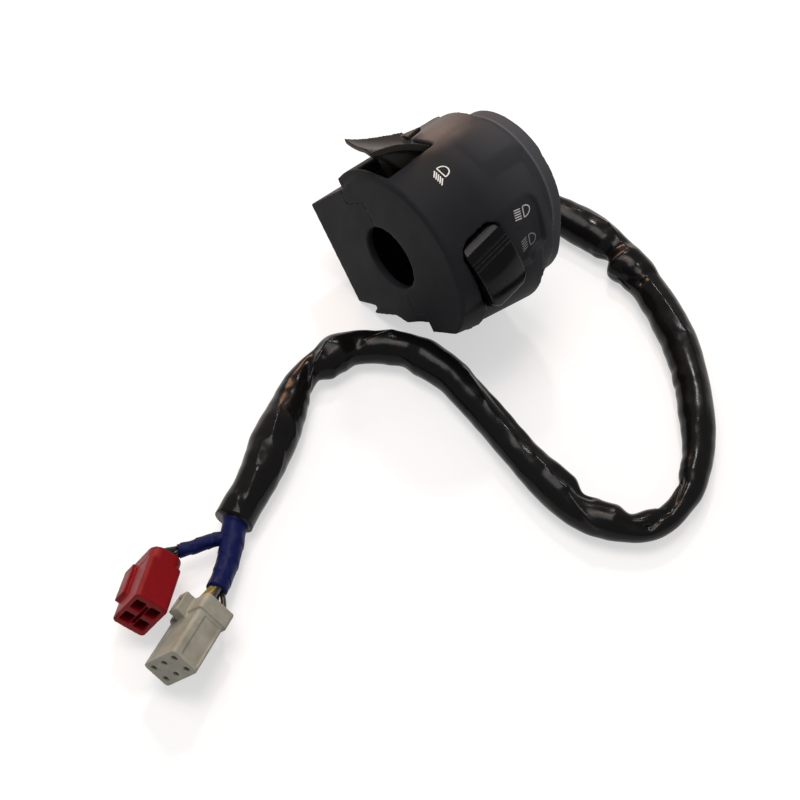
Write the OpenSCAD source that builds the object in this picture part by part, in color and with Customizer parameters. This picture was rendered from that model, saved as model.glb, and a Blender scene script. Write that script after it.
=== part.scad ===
// Left-hand handlebar switch cluster: pass trigger on top, dimmer rocker at the rear, two connectors.
// Origin: bar axis at the outboard end face. X runs inboard along the bar, Z is up as the part lies.
// Bike axes inside the housing modules: x inboard, y forward, z up.

/* [Housing] */
// Handlebar diameter that the clamp bore takes
bar_d = 22.2; // [21:0.1:25]
// Length of the shells without the end ring
shell_len = 38.5; // [38:0.5:44]
// Length of the end ring at the inboard end
ring_len = 4; // [3:0.1:5]
// Corner radius of the oblong end ring
ring_r = 23.4; // [22.5:0.1:24]
// Radius of the round rear body
body_r = 29.5; // [29:0.1:32]
// How far the round body leans back from its outboard to its inboard end
body_lean_back = 3.5; // [2:0.1:4]
// How far it leans up over the same length
body_lean_up = 2.7; // [2:0.1:3.2]
// Distance of the round body's axis behind the bar axis
body_back = 5; // [4:0.1:6]
// Wall thickness of both shells
wall = 2.5; // [2:0.1:2.8]
// How far the belly stands out below the round body at its deepest
belly_drop = 3.8; // [3:0.1:4.5]
// Distance of the flat front from the bar axis
block_front = 36; // [34:0.5:42]
// Height of the flat front above the bar axis
block_top = 20.3; // [19.8:0.1:22]
// Depth of the flat front below the bar axis
block_bottom = 17.5; // [17:0.1:19]
// Gap between the two shells at the parting line
seam = 0.15; // [0.05:0.05:0.3]
// Angle that the cluster leans forward as it lies
lie_angle = 39.4; // [36:0.1:42]
// Diameter of the clamp screws
clamp_screw_d = 4; // [3:0.5:4.5]

/* [Dimmer rocker] */
// Width of the rocker along its pivot
rocker_w = 15; // [13:0.5:15.5]
// Length of the rocker across its pivot
rocker_l = 24.4; // [22:0.2:25]
// Distance of the rocker's middle from the outboard end
rocker_x = 14.5; // [14:0.5:17]
// Position of the rocker round the body, 0 on top and 90 at the rear
rocker_phi = 109; // [106:1:112]
// Turn of the rocker towards the thumb
rocker_tilt = 13; // [8:1:15]
// Angle between the two positions of the rocker
rocker_swing = 16; // [10:1:18]
// Diameter of both pivot pins
pin_d = 2.4; // [2:0.1:2.8]

/* [Pass trigger] */
// Length of the finger lever along the bar
paddle_len = 19.6; // [18:0.2:20]
// Height of the lever's free end above its root
paddle_rise = 7.8; // [7:0.1:9]
// Thickness of the lever at its free end
paddle_t = 1.8; // [1.4:0.1:2.2]
// Position of the lever round the body, 0 on top
trigger_phi = 11; // [9:1:13]

/* [Harness] */
// Diameter of the harness sleeve
sleeve_d = 12.6; // [11:0.1:13]
// Diameter of the taped trunk
trunk_d = 7.6; // [6:0.2:8]
// Diameter of the taped branch
branch_d = 4.2; // [3.6:0.2:5]
// Diameter of a single lead
lead_d = 1.8; // [1.4:0.1:2]

/* [Connectors] */
// Width of the white connector across its three columns
white_w = 15.4; // [15:0.2:18]
// Height of the white connector across its two rows
white_h = 9.8; // [9.4:0.2:12]
// Length of the white connector
white_len = 21.7; // [20:0.1:24]
// Width of the red connector
red_w = 14.5; // [14:0.1:17]
// Height of the red connector
red_h = 10.4; // [10:0.1:12]
// Length of the red connector
red_len = 20; // [19:0.1:23]

/* [Hidden] */
$fn = 64;

// Running and seating clearances
run_gap = 0.05;
press_gap = 0.02;
free_gap = 0.4;
// Overshoot of a cut past the face that it opens
cut = 1;

// Housing
total_len = shell_len + ring_len;
body_drop = 0.5;
edge = 0.8;
belly_start = 10;
belly_end = shell_len - 6;
belly_taper = 5;
belly_slope = 0.45;
heel_len = 9.5;
heel_rise = 1.8;
bottom_cut = 27;
lip_front = 10.5;
lip_low = block_top - 0.3;
heel_front = -5.5;
heel_low = 20;
block_shoulder = 24.5;
block_heel = 23.6;
brow_r = body_r + 0.8;
ring_middle = [-body_back - 7.7, 0.6];
ring_turn = 34;
ring_band = ring_len - 0.9;
ring_spread = body_r - 23.9;
cavity_r = body_r - wall;
far = 80;

// Clamp screws
screw_x = shell_len - 5.5;
upper_z = 16.5;
lower_z = -17;
boss_r = clamp_screw_d / 2 + 2.2;
head_r = clamp_screw_d * 0.9;
head_h = clamp_screw_d * 0.65;
upper_seat = block_front - 8;
lower_seat = 22;
insert_r = clamp_screw_d / 2 + 0.7;
insert_len = 9;
screw_reach = -7;

// Dimmer
panel_r = body_r - 1.1;
panel_round = 5.5;
panel_right = 20.3;
panel_low = -6.4;
panel_high = 16;
rocker_crown = body_r + 2.9;
pivot_z = body_r - 6.1;
hub_r = pin_d / 2 + 1.4;
rocker_corner = 4.5;
rocker_nose = 2.6;
nose_r = rocker_w * 0.58;
well_gap = 0.9;
base_z = pivot_z - 9.4;
base_t = 2.5;
base_half = hub_r + 3.4;
base_top = base_z + base_t;
ear_t = 2.2;
base_screw_y = 17.5;
bridge_z = base_top + 2;
bridge_l = 16;
bridge_t = 0.8;
contact_y = 6.5;
plunger_r = 1.6;
plunger_end = bridge_z + bridge_t + 0.6;

// Pass trigger
slot_start = 2.2;
slot_end = slot_start + paddle_len - 0.6;
slot_rear = -7.3;
slot_front = 8.7;
root_x = slot_end - 0.6;
root_z = body_r + 0.7;
ear_reach = 5.4;
hinge_x = slot_end + 2.4;
hinge_z = cavity_r - 3.4;
trigger_hub_r = 2.6;
hub_half = 5;
lug_t = 2.5;
trigger_pin_half = hub_half + 0.3 + lug_t;
shelf_z = body_r - 16.9;
shelf_t = 2;
shelf_top = shelf_z + shelf_t;
pass_top = shelf_top + 3.4;
pass_len = 17;
contact_x = 7.5;
contact_side = 3.6;
plate_z = pass_top + 5.2;
spring_x = 14.5;
spring_seat = hinge_z + 3.6;
pass_screw_x = 18.6;

// Harness
floor_z = -(block_front * sin(lie_angle) + block_bottom * cos(lie_angle));
sleeve_r = sleeve_d / 2;
trunk_r = trunk_d / 2;
lead_r = lead_d / 2;
front_wall = 1.5;
pin_r = 1.35;
pin_mouth_r = 0.9;
white_pitch = 5;
white_row = 4.6;
red_pitch = [4.6, 6.2];
white_pins = [for (y = [-0.5, 0.5], z = [-1, 0, 1]) [y * white_row, z * white_pitch]];
red_pins = [for (y = [-0.5, 0.5], z = [-0.5, 0.5]) [y * red_pitch[0], z * red_pitch[1]]];
outlet = [23, -6.4];
lead_x = screw_x - 10;
lead_low = bar_d / 2 + 6.9;
grommet_r = sleeve_r + 1.5;
grommet_x = total_len - wall - 1.5;
grommet_neck = sleeve_d * 0.87 + wall;
sleeve_x = grommet_x + 0.5;
// Route of the sleeve after it leaves the grommet: x, y and height of the centre line above the table
sleeve_route = [[66, 10, 13.5], [72, 5, 10], [76, -3, 7.5], [79, -13, 6.5], [80, -23, 6.5], [79, -34, 6.5],
  [76, -45, 6.5], [72, -56, 6.5], [67, -67, 6.5], [61, -78, 6.5], [53, -88, 6.5], [44, -97, 6.5],
  [35, -105, 6.5], [24, -111, 6.5], [12, -113, 6.5], [2, -109, 6.5], [-4, -99, 6.5], [-6, -87, 6.5],
  [-5.5, -72, 6.5], [-4, -57, 6.5], [-2, -42, 6.5], [-2, -28, 6.5], [-6, -15, 6.5], [-13, -5, 6.5],
  [-22, 0, 6.5], [-31, 0.5, 6.5], [-40.5, -2, 6.5], [-50.5, -8, 6.5], [-62, -14.5, 6.5], [-74, -21.5, 6.5],
  [-87, -28.5, 6.5]];
// Taped trunk from the end of the sleeve to the white connector, and the thin branch to the red one
trunk_route = [[-86, -28, 6.5], [-89.5, -31.5, 6.5], [-93.5, -35.5, 6.5], [-97.5, -39, 7], [-102, -42.5, 8]];
branch_route = [[-91, -32.5, 6.5], [-94.5, -30.5, 7], [-98, -29.5, 8], [-102, -28.5, 8.5], [-106, -27, 9]];
// Mating face, yaw, pitch and roll of each connector as it lies on its edge
white_tip = [-130, -58.3, 14.6];
white_turn = [39.8, 14.6, 28.4];
red_tip = [-127.2, -39.8, 14.8];
red_turn = [36, 17.4, 42.8];

// Sweep of a round tube along points
function unit(v) = v / norm(v);
function heading(p, i) = unit(p[min(i + 1, len(p) - 1)] - p[max(i - 1, 0)]);
function ring(c, t, r, n, up) =
  let (s = unit(cross(t, up)), u = cross(s, t))
  [for (k = [0:n - 1]) c + r * cos(360 * (k + 0.5) / n) * s + r * sin(360 * (k + 0.5) / n) * u];
module tube(path, r, n = 8, up = [0, 0, 1]) {
  last = len(path) - 1;
  points = [for (i = [0:last]) each ring(path[i], heading(path, i), r, n, up)];
  sides = [for (i = [0:last - 1], k = [0:n - 1])
    let (a = i * n + k, b = i * n + (k + 1) % n)
    each [[a, b, b + n], [a, b + n, a + n]]];
  polyhedron(points, concat([[for (k = [n - 1:-1:0]) k]], [[for (k = [0:n - 1]) last * n + k]], sides));
}
function helix(r, pitch, turns, steps) =
  [for (i = [0:turns * steps]) [r * cos(360 * i / steps), r * sin(360 * i / steps), pitch * i / steps]];

// Frames: the bike's axes, a radial frame round the body, and the frames of both switches
module bike() rotate([-lie_angle, 0, 0]) children();
module around(phi) translate([0, -body_back, -body_drop]) rotate([phi, 0, 0]) children();
module dimmer_frame() bike() translate([rocker_x, 0, 0]) around(rocker_phi) rotate([0, 0, rocker_tilt])
  children();
module trigger_frame() bike() around(trigger_phi) children();
module rocker_pose(angle) translate([0, 0, pivot_z]) rotate([angle, 0, 0]) translate([0, 0, -pivot_z])
  children();
function radial(x, v, r, phi) =
  [x, -body_back + v * cos(phi) - r * sin(phi), -body_drop + v * sin(phi) + r * cos(phi)];
function dimmer_point(u, v, r) =
  radial(rocker_x + u * cos(rocker_tilt) - v * sin(rocker_tilt), u * sin(rocker_tilt) + v * cos(rocker_tilt),
    r, rocker_phi);
function table_point(p) =
  [p[0], p[1] * cos(lie_angle) + p[2] * sin(lie_angle), p[2] * cos(lie_angle) - p[1] * sin(lie_angle)];
function laid(route) = [for (p = route) [p[0], p[1], p[2] + floor_z]];

// Solids along the bike's axes
module rod_x(r, x0, x1, y = 0, z = 0, r_end = 0)
  translate([x0, y, z]) rotate([0, 90, 0]) cylinder(r1 = r, r2 = r_end > 0 ? r_end : r, h = x1 - x0);
module rod_y(r, y0, y1, x, z) translate([x, y0, z]) rotate([-90, 0, 0]) cylinder(r = r, h = y1 - y0);
module along_x(x0, x1) translate([x0, 0, 0]) rotate([90, 0, 90]) linear_extrude(x1 - x0) children();

// Housing
module lean() translate([0, -body_back, -body_drop])
  rotate([0, 90 - atan(body_lean_up / total_len), -atan(body_lean_back / total_len)]) children();
module belly_lean() translate([0, -body_back - 0.4, -body_drop - 0.7])
  rotate([0, 90 + atan(belly_drop * 0.92 / (belly_end - 2)), -2.5]) children();
module slice(x0, x1) intersection() {
  translate([x0, -far, -far]) cube([x1 - x0, 2 * far, 2 * far]);
  children();
}
module round_body() {
  rod_x(body_r - edge, 0, edge, -body_back, -body_drop, body_r);
  slice(edge, shell_len) lean() translate([0, 0, -far / 8]) cylinder(r = body_r, h = far);
  along_x(shell_len - 1.5, total_len - ring_band) ring_side(ring_r - 1);
  along_x(total_len - ring_band, total_len) ring_side(ring_r);
  slice(belly_start, belly_end) belly_lean() cylinder(r = body_r - 1.5, h = far);
  slice(belly_end - 0.1, belly_end + belly_taper) belly_lean() translate([0, 0, belly_end])
    cylinder(r1 = body_r - 1.5, r2 = body_r - 1.5 - 2 * belly_taper * belly_slope, h = 2 * belly_taper);
  rod_x(brow_r, edge, shell_len, 4 - body_back, 0.3);
  intersection() {
    rod_x(body_r, 0, heel_len, -body_back, -body_drop, body_r + heel_rise);
    translate([0, -far, -far]) cube([heel_len, far, far - heel_low]);
  }
}
// Outline of the end ring: two arcs and the straights between them
module ring_side(r) translate(ring_middle) rotate(ring_turn) {
  for (side = [-1, 1]) translate([0, side * ring_spread]) circle(r = r);
  square([2 * r, 2 * ring_spread], center = true);
}
module round_side()
  polygon([[-far, far], [lip_front, far], [lip_front, 0], [heel_front, 0], [heel_front, -far],
    [-far, -far]]);
module block_side()
  polygon([[heel_front - 1, block_shoulder - 0.5], [lip_front + 2, block_shoulder], [block_front, block_top],
    [block_front, -block_bottom], [block_front - 11, -block_bottom - 1.2],
      [block_front - 11, -block_bottom - 1.8],
    [block_front - 7.5, -block_bottom - 3.8], [block_front - 8.5, -block_bottom - 4.5],
      [14, -block_bottom - 4.5],
    [9, -block_heel - 0.9], [1, -block_heel], [heel_front - 1, -block_heel]]);
module housing() {
  difference() {
    intersection() {
      round_body();
      along_x(-cut, total_len + cut) round_side();
    }
    translate([0, -far, -bottom_cut]) rotate([0, atan(heel_rise / heel_len), 0])
      translate([-cut, 0, -far]) cube([heel_len + cut, far, far]);
  }
  along_x(0, total_len) block_side();
}
module round_hollow()
  polygon([[-far, far], [lip_front - wall, far], [lip_front - wall, 0], [heel_front - wall, 0],
    [heel_front - wall, -far], [-far, -far]]);
module block_hollow()
  polygon([[heel_front - wall - 1, lip_low + 1], [0, block_shoulder - wall - 0.2],
    [lip_front + 2, block_shoulder - wall - 0.2], [block_front - wall, block_top - wall],
    [block_front - wall, wall - block_bottom], [block_front - 11.5, wall - block_bottom - 1.2],
    [13.5, wall - block_bottom - 4.3], [8.5, wall - block_heel - 0.5],
      [heel_front - wall - 1, wall - block_heel]]);
module cavity() {
  intersection() {
    slice(wall, total_len - wall) lean() cylinder(r = cavity_r, h = far);
    rod_x(cavity_r, 0, total_len, -body_back, -body_drop);
    along_x(0, total_len) round_hollow();
  }
  along_x(wall, total_len - wall) block_hollow();
}
module rear_side()
  polygon([[-far, far], [lip_front, far], [lip_front, lip_low], [0, lip_low], [0, -heel_low],
    [heel_front, -heel_low], [heel_front, -far], [-far, -far]]);
module front_side()
  polygon([[lip_front + seam, far], [far, far], [far, -far], [heel_front + seam, -far],
    [heel_front + seam, -heel_low - seam], [seam, -heel_low - seam], [seam, lip_low - seam],
    [lip_front + seam, lip_low - seam]]);
module bar_bore() rod_x(bar_d / 2, -cut, total_len + cut);

// Rear shell with the trigger slot, the flat panel, the rocker well and its inner bosses
module rear_shell() color("#3a3c40") bike() intersection() {
  difference() {
    union() {
      difference() {
        housing();
        cavity();
        around(trigger_phi)
          translate([slot_start, slot_rear, shelf_top + 4])
            cube([slot_end - slot_start, slot_front - slot_rear, far]);
        translate([rocker_x, 0, 0]) around(rocker_phi) symbol_panel();
        translate([rocker_x, 0, 0]) around(rocker_phi) rotate([0, 0, rocker_tilt])
          translate([0, 0, cavity_r - 6]) linear_extrude(far) rocker_plan(free_gap, well_gap);
      }
      intersection() {
        housing();
        union() {
          for (z = [upper_z, lower_z]) rod_y(boss_r, -body_back - body_r, 0, screw_x, z);
          translate([screw_x - boss_r - 2, -body_back - body_r, -4])
            cube([2, body_r - bar_d / 2 + body_back + 1, 8]);
          around(trigger_phi) trigger_seats();
          translate([rocker_x, 0, 0]) around(rocker_phi) rotate([0, 0, rocker_tilt])
            for (side = [-1, 1]) translate([0, side * base_screw_y, base_top]) cylinder(r = 2.3, h = 6);
        }
      }
    }
    bar_bore();
    for (z = [upper_z, lower_z]) rod_y(insert_r + press_gap, -insert_len, cut, screw_x, z);
    for (z = [upper_z, lower_z]) rod_y(clamp_screw_d / 2 + press_gap, screw_reach - 4, cut, screw_x, z);
    around(trigger_phi) translate([hinge_x, 0, hinge_z]) rotate([90, 0, 0])
      cylinder(r = pin_d / 2 + press_gap, h = 2 * trigger_pin_half + 0.2, center = true);
    around(trigger_phi) translate([pass_screw_x, 0, shelf_z - cut])
      cylinder(r = 0.9 + press_gap, h = shelf_t + 2);
    translate([rocker_x, 0, 0]) around(rocker_phi) rotate([0, 0, rocker_tilt])
      for (side = [-1, 1]) translate([0, side * base_screw_y, base_z])
        cylinder(r = 0.9 + press_gap, h = 6.5);
  }
  along_x(-cut, total_len + cut) rear_side();
}
// Flat panel beside the rocker that carries its symbols, with rounded inboard corners
module symbol_panel() translate([0, 0, panel_r]) linear_extrude(far / 4) {
  translate([0, panel_low]) square([panel_right - panel_round, panel_high - panel_low]);
  translate([0, panel_low + panel_round]) square([panel_right, panel_high - panel_low - 2 * panel_round]);
  for (y = [panel_low + panel_round, panel_high - panel_round])
    translate([panel_right - panel_round, y]) circle(r = panel_round);
}
// Plan of the rocker with its rounded lower nose, grown by a gap on each side and at each end
module rocker_plan(side_gap = 0, end_gap = 0) {
  w = rocker_w + 2 * side_gap;
  l = rocker_l + 2 * end_gap;
  r = rocker_corner + side_gap;
  square([w - 2 * r, l], center = true);
  square([w, l - 2 * r], center = true);
  for (a = [-1, 1], b = [-1, 1]) translate([a * (w / 2 - r), b * (l / 2 - r)]) circle(r = r);
  intersection() {
    translate([0, nose_r + side_gap - l / 2 - rocker_nose]) circle(r = nose_r + side_gap);
    translate([-w / 2, -l / 2 - rocker_nose - 1]) square([w, l / 2 + 1]);
  }
}
// Shelf under the pass base and the two lugs of the trigger's pin
module trigger_seats() {
  translate([wall - 0.5, -8, shelf_z]) cube([pass_screw_x + 3.4 - wall, 15, shelf_t]);
  for (side = [-hub_half - 0.3 - lug_t, hub_half + 0.3])
    translate([slot_end + 0.2, side, hinge_z - 2.7]) cube([5, lug_t, cavity_r - hinge_z + 4.9]);
}

// Front shell with the screw towers, the bar saddle and the cable outlet
module front_shell() color("#2f3331") bike() intersection() {
  difference() {
    union() {
      difference() {
        housing();
        cavity();
      }
      rod_y(boss_r, 0, block_front - wall, screw_x, upper_z);
      rod_y(head_r + 1.6, upper_seat - 3, block_front - wall, screw_x, upper_z);
      intersection() {
        rod_y(boss_r, 0, lower_seat + 2, screw_x, lower_z);
        along_x(0, total_len) block_side();
      }
      translate([screw_x - boss_r - 2, bar_d / 2 - 1, -4])
        cube([2, block_front - wall - bar_d / 2 + 1.5, 8]);
    }
    bar_bore();
    for (z = [upper_z, lower_z]) rod_y(clamp_screw_d / 2 + run_gap, -cut, far, screw_x, z);
    rod_y(head_r + 0.3, upper_seat, far, screw_x, upper_z);
    rod_y(head_r + 0.3, lower_seat, far, screw_x, lower_z);
    rod_x(grommet_r + run_gap, total_len - wall - cut, total_len + cut, outlet[0], outlet[1]);
  }
  along_x(-cut, total_len + cut) front_side();
}
module clamp_screws() color("#b9bcc0") bike()
  for (seat = [[upper_z, upper_seat], [lower_z, lower_seat]]) difference() {
    union() {
      rod_y(clamp_screw_d / 2, screw_reach, seat[1] + head_h / 2, screw_x, seat[0]);
      rod_y(head_r, seat[1], seat[1] + head_h, screw_x, seat[0]);
    }
    for (turn = [0, 90]) translate([screw_x, seat[1] + head_h, seat[0]]) rotate([0, turn, 0])
      cube([head_r * 1.2, head_h, 0.8], center = true);
  }
module screw_inserts() color("#c9a24a") bike()
  for (z = [upper_z, lower_z]) difference() {
    rod_y(insert_r, -insert_len, -0.3, screw_x, z);
    rod_y(clamp_screw_d / 2 + press_gap, -insert_len - cut, cut, screw_x, z);
  }

// Dimmer: the rocker is drawn level and then set with its lower end out, on high beam
module dimmer_rocker() color("#141518") dimmer_frame() rocker_pose(-rocker_swing / 2) difference() {
  union() {
    difference() {
      rocker_cap();
      translate([-rocker_w / 2 + 2, -rocker_l / 2 + 2, 0])
        cube([rocker_w - 4, rocker_l - 4, rocker_crown - 4.6]);
    }
    translate([-rocker_w / 2, 0, pivot_z]) rotate([0, 90, 0]) cylinder(r = hub_r, h = rocker_w);
    translate([-rocker_w / 2 + 1, -1.5, pivot_z]) cube([rocker_w - 2, 3, rocker_crown - pivot_z - 3]);
    translate([0, 0, plunger_end + 1]) cylinder(r = plunger_r + 1.2, h = rocker_crown - plunger_end - 4);
  }
  translate([-far / 2, 0, pivot_z]) rotate([0, 90, 0])
    cylinder(r = pin_d / 2 + run_gap, h = far / 2 - plunger_r - 0.4);
  translate([plunger_r + 0.4, 0, pivot_z]) rotate([0, 90, 0]) cylinder(r = pin_d / 2 + run_gap, h = far);
  translate([0, 0, plunger_end - cut]) cylinder(r = plunger_r + run_gap,
    h = rocker_crown - plunger_end - 4.5 + cut);
}
// Crowned cap with rounded corners and three grip ridges
module rocker_cap() intersection() {
  union() {
    rotate([90, 0, 90]) linear_extrude(rocker_w, center = true) intersection() {
      circle(r = rocker_crown, $fn = 180);
      translate([-rocker_l, pivot_z + 1.6]) square([rocker_l * 1.5, rocker_crown]);
      translate([-rocker_nose / 2, pivot_z - 2]) circle(r = (rocker_l + rocker_nose) / 2 + 0.7);
    }
    for (ridge = [3.9, 5.2, 6.5])
      rotate([-asin(ridge / rocker_crown), 0, 0])
        translate([0, 0, rocker_crown]) rotate([0, 90, 0]) cylinder(r = 0.4, h = rocker_w, center = true);
  }
  linear_extrude(far) rocker_plan();
}
module rocker_pin() color("#c4c7ca") dimmer_frame() difference() {
  pin_reach = rocker_w / 2 + free_gap + ear_t;
  translate([-pin_reach, 0, pivot_z]) rotate([0, 90, 0]) cylinder(r = pin_d / 2, h = 2 * pin_reach);
  translate([-plunger_r - 0.6, -far / 2, 0]) cube([2 * plunger_r + 1.2, far, far]);
}
module dimmer_base() color("#5a3a24") dimmer_frame() difference() {
  ear_x = rocker_w / 2 + free_gap;
  union() {
    translate([-ear_x - ear_t, -base_half, base_z]) cube([2 * (ear_x + ear_t), 2 * base_half, base_t]);
    translate([-3.5, -base_screw_y - 3, base_z]) cube([7, 2 * base_screw_y + 6, base_t]);
    for (side = [-1, 1]) translate([side * (ear_x + ear_t / 2), 0, 0]) hull_ear();
  }
  translate([-far / 2, 0, pivot_z]) rotate([0, 90, 0]) cylinder(r = pin_d / 2 + press_gap, h = far);
  for (y = [-contact_y, 0, contact_y]) translate([0, y, 0]) cylinder(r = 0.8 + press_gap, h = far);
  for (side = [-1, 1]) translate([0, side * base_screw_y, 0]) cylinder(r = 1.1, h = far);
}
// One ear of the dimmer base, round at the top
module hull_ear() {
  translate([-ear_t / 2, -hub_r, base_top - 0.5]) cube([ear_t, 2 * hub_r, pivot_z - base_top + 0.5]);
  translate([-ear_t / 2, 0, pivot_z]) rotate([0, 90, 0]) cylinder(r = hub_r, h = ear_t);
}
module base_screws() color("#b9bcc0") dimmer_frame()
  for (side = [-1, 1]) translate([0, side * base_screw_y, base_z]) {
    translate([0, 0, -1.4]) cylinder(r = 1.9, h = 1.4);
    cylinder(r = 0.9, h = 6);
  }
module detent_plunger() color("#d8d2c4") dimmer_frame() rocker_pose(-rocker_swing / 2) {
  translate([0, 0, plunger_end + plunger_r]) sphere(r = plunger_r);
  translate([0, 0, plunger_end + plunger_r]) cylinder(r = plunger_r, h = 1.6);
}
module detent_spring() color("#a9adb2") dimmer_frame() rocker_pose(-rocker_swing / 2)
  translate([0, 0, plunger_end + plunger_r + 1.95]) tube(helix(1.1, 0.75, 4, 10), 0.22, 6);
module contact_bridge() color("#b87333") dimmer_frame() translate([0, 0, bridge_z])
  rotate([rocker_swing / 2, 0, 0])
  difference() {
    union() {
      translate([-2.5, -bridge_l / 2, 0]) cube([5, bridge_l, bridge_t]);
      for (side = [-1, 1]) translate([0, side * contact_y, -0.3]) cylinder(r = 1.3, h = 0.6);
    }
    translate([-far / 2, 0, -0.45]) rotate([0, 90, 0]) cylinder(r = 0.7, h = far);
  }
module feed_post() color("#c9a24a") dimmer_frame() {
  translate([0, 0, base_z - 1.5]) cylinder(r = 0.8, h = base_t + 1.6);
  translate([-2, -1, base_top]) cube([4, 2, bridge_z - base_top - 1.1]);
  translate([-2, 0, bridge_z - 0.75]) rotate([0, 90, 0]) cylinder(r = 0.45, h = 4);
  translate([-2, -0.45, base_top + 0.5]) cube([4, 0.9, bridge_z - base_top - 1.25]);
}
module beam_contacts() color("#c9a24a") dimmer_frame()
  for (side = [-1, 1]) translate([0, side * contact_y, 0]) {
    translate([0, 0, base_z - 1.5]) cylinder(r = 0.8, h = base_t + 1.6);
    translate([0, 0, base_top]) cylinder(r = 1.4, h = 0.45);
  }

// Pass trigger: a lever that slopes up from the slot to its curled free end
function paddle_top(s) = root_z + paddle_rise * s + 0.9 * pow(s, 6);
function paddle_curl(s, w) =
  w < 0 ? (6.4 * s * (1 - s) - 1.6 * pow(s, 3)) * w * w : (2 + 1.1 * pow(1 - s, 2)) * w * w;
function paddle_edge(s, w) = w < 0 ? w * (6.3 - 1.9 * s) : w * (7 + 1.1 * s);
function paddle_point(s, w, down) =
  [root_x - paddle_len * s, paddle_edge(s, w), paddle_top(s) + paddle_curl(s,
    w) - down * (paddle_t + 1.2 * (1 - s))];
module paddle() {
  rows = 9;
  cols = 8;
  stride = cols + 1;
  under = (rows + 1) * stride;
  points = [for (down = [0, 1], i = [0:rows], j = [0:cols]) paddle_point(i / rows, 2 * j / cols - 1, down)];
  skin = [for (i = [0:rows - 1], j = [0:cols - 1])
    let (a = i * stride + j, b = a + 1, c = a + stride + 1, d = a + stride)
    each [[a, c, b], [a, d, c], [under + a, under + b, under + c], [under + a, under + c, under + d]]];
  ends = [for (j = [0:cols - 1])
    let (a = j, b = rows * stride + j)
    each [[a, a + 1, under + a + 1], [a, under + a + 1, under + a],
      [b, under + b + 1, b + 1], [b, under + b, under + b + 1]]];
  edges = [for (i = [0:rows - 1])
    let (a = i * stride, b = a + cols)
    each [[a, under + a + stride, a + stride], [a, under + a, under + a + stride],
      [b, b + stride, under + b + stride], [b, under + b + stride, under + b]]];
  polyhedron(points, concat(skin, ends, edges));
}
module pass_trigger() color("#17181b") trigger_frame() difference() {
  union() {
    paddle();
    translate([root_x, 0, root_z + 1.2]) linear_extrude(1.5)
      polygon([[-1.5, 2.2], [-1.5, 6.9], [ear_reach, 4.1]]);
    translate([0, hub_half - 0.4, 0]) rotate([90, 0, 0]) linear_extrude(2 * hub_half - 0.8)
      polygon([[root_x - 0.05, root_z - 1.2], [root_x - 0.9 * paddle_len, root_z + 0.9 * paddle_rise - 1],
        [root_x - 0.85 * paddle_len, root_z + 0.6 * paddle_rise], [contact_x + 2, spring_seat],
        [spring_x + 2.3, spring_seat], [hinge_x - 5, hinge_z - 0.5], [hinge_x - 1, hinge_z - 2.2],
        [hinge_x + 1, hinge_z + 2.2], [root_x, hinge_z + 2.8]]);
    translate([hinge_x, hub_half, hinge_z]) rotate([90, 0, 0]) cylinder(r = trigger_hub_r, h = 2 * hub_half);
    translate([contact_x, 0, plate_z + 0.6]) cylinder(r = 1.8, h = root_z + 2 - plate_z);
  }
  translate([hinge_x, 0, hinge_z]) rotate([90, 0, 0])
    cylinder(r = pin_d / 2 + run_gap, h = far, center = true);
}
module trigger_pin() color("#c4c7ca") trigger_frame()
  translate([hinge_x, 0, hinge_z]) rotate([90, 0, 0])
    cylinder(r = pin_d / 2, h = 2 * trigger_pin_half, center = true);
module trigger_spring() color("#a9adb2") trigger_frame()
  translate([spring_x, 0, pass_top + 0.35])
    tube(helix(1.8, (spring_seat - pass_top - 0.7) / 5, 5, 10), 0.3, 6);
module pass_plate() color("#b87333") trigger_frame()
  translate([contact_x - 1.4, -contact_side - 1, plate_z]) cube([2.8, 2 * contact_side + 2, 0.6]);
module pass_base() color("#5a3a24") trigger_frame() difference() {
  translate([4, -5.5, shelf_top]) cube([pass_len, 11, pass_top - shelf_top]);
  translate([pass_screw_x, 0, 0]) cylinder(r = 1.1, h = far);
  for (side = [-1, 1]) translate([contact_x, side * contact_side, shelf_top + 1])
    cylinder(r = 0.8 + press_gap, h = far);
}
module pass_contacts() color("#c9a24a") trigger_frame()
  for (side = [-1, 1]) translate([0, side * contact_side, pass_top]) {
    translate([contact_x, 0, -2]) cylinder(r = 0.8, h = 2.1);
    translate([contact_x, 0, 0]) cylinder(r = 1.3, h = 1.1);
    translate([contact_x, -0.9, 0]) cube([pass_len - 2, 1.8, 0.5]);
  }
module pass_screw() color("#b9bcc0") trigger_frame() translate([pass_screw_x, 0, 0]) {
  translate([0, 0, pass_top]) cylinder(r = 1.7, h = 1.2);
  translate([0, 0, shelf_z + 0.2]) cylinder(r = 0.9, h = pass_top - shelf_z);
}

// Harness
module cable_grommet() color("#1b1b1b") bike() translate([grommet_x, outlet[0], outlet[1]])
  rotate([0, 90, 0])
  rotate_extrude() polygon([[sleeve_r + run_gap, 0], [grommet_r + 1.5, 0], [grommet_r + 1.5, 1.5],
    [grommet_r, 1.5],
    [grommet_r, 1.5 + wall], [grommet_r + 1.5, 1.5 + wall], [grommet_r + 1.5, 2.7 + wall],
      [grommet_r + 0.4, 4 + wall],
    [sleeve_r + 0.9, grommet_neck], [sleeve_r + run_gap, grommet_neck]]);
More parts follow.
